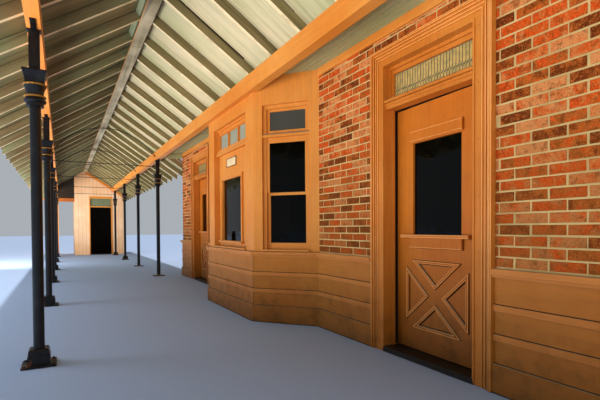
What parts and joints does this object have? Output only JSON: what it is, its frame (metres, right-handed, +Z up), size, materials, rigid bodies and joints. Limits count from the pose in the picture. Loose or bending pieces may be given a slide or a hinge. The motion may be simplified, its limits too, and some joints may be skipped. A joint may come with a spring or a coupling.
{
  "type": "railway station building",
  "caption": "Brick country station with a ticket bay and panelled doors, beside a gabled platform cover on cast-iron columns that runs on to a boarded store room.",
  "frame": {"origin": "middle of the plan of the whole station, at platform level", "axes": "+X across the platform from the track towards the building, +Y along the platform from the building to the store room, +Z up"},
  "size_m": [8.76, 22.1, 4.7469],
  "materials": {
    "brick": "rough",
    "dado_paint": "painted, satin",
    "orange_paint": "painted, satin",
    "door_paint": "painted, satin",
    "olive_paint": "painted, satin",
    "cream_paint": "painted, matt",
    "grey_paint": "painted, matt",
    "bare_wood": "bare, matt",
    "shingles": "weathered",
    "zinc": "dull",
    "iron": "painted black, worn",
    "glass": "clear",
    "leaded_glass": "leaded",
    "sign_white": "satin"
  },
  "bodies": {
    "station": {"front_wall_near": "brick", "near_door_head_wall": "brick", "front_wall_near_pier": "brick", "front_wall_far_pier": "brick", "far_door_head_wall": "brick", "front_wall_far": "brick", "near_end_wall": "brick", "far_end_wall": "brick", "back_wall": "brick", "front_dado": "dado_paint", "bay_dado": "dado_paint", "rear_dado": "dado_paint", "bay_base": "dado_paint", "store_cross_beam": "dado_paint", "front_frieze": "orange_paint", "bay_posts": "orange_paint", "bay_head": "orange_paint", "bay_front_window": "orange_paint", "bay_side_windows": "orange_paint", "near_door_frame": "orange_paint", "far_door_frame": "orange_paint", "rear_windows": "orange_paint", "track_side_beam": "orange_paint", "building_side_beam": "orange_paint", "barge_boards": "orange_paint", "store_front_wall": "orange_paint", "store_walls": "orange_paint", "store_doorway": "orange_paint", "store_posts": "orange_paint", "platform_soffit": "olive_paint", "soffit_end_board": "olive_paint", "room_ceiling": "cream_paint", "track_side_rafters": "cream_paint", "building_side_rafters": "cream_paint", "track_side_deck": "cream_paint", "building_side_deck": "cream_paint", "main_rafters": "cream_paint", "main_ridge_board": "cream_paint", "main_deck": "cream_paint", "cover_ridge_board": "grey_paint", "station_floor": "bare_wood", "wall_plates": "bare_wood", "store_floor": "bare_wood", "cover_shingles": "shingles", "main_shingles": "shingles", "valley_gutter": "zinc", "track_side_columns": "iron", "building_side_columns": "iron", "arched_rods": "iron", "tie_rods": "iron", "bay_glass": "glass", "rear_window_glass": "glass", "over_door_glass": "leaded_glass", "sign_plate": "sign_white"},
    "near_leaf": {"near_door": "door_paint", "near_door_glass": "glass"},
    "far_leaf": {"far_door": "door_paint", "far_door_glass": "glass"}
  },
  "joints": [
    {"name": "near_door_hinge", "type": "hinge", "parent": "station", "child": "near_leaf", "pos_m": [-0.847, -9.7105, 0], "axis": [0, 0, -1], "range_deg": [-2, 88]},
    {"name": "far_door_hinge", "type": "hinge", "parent": "station", "child": "far_leaf", "pos_m": [-0.847, -3.5605, 0], "axis": [0, 0, -1], "range_deg": [0, 88]}
  ]
}
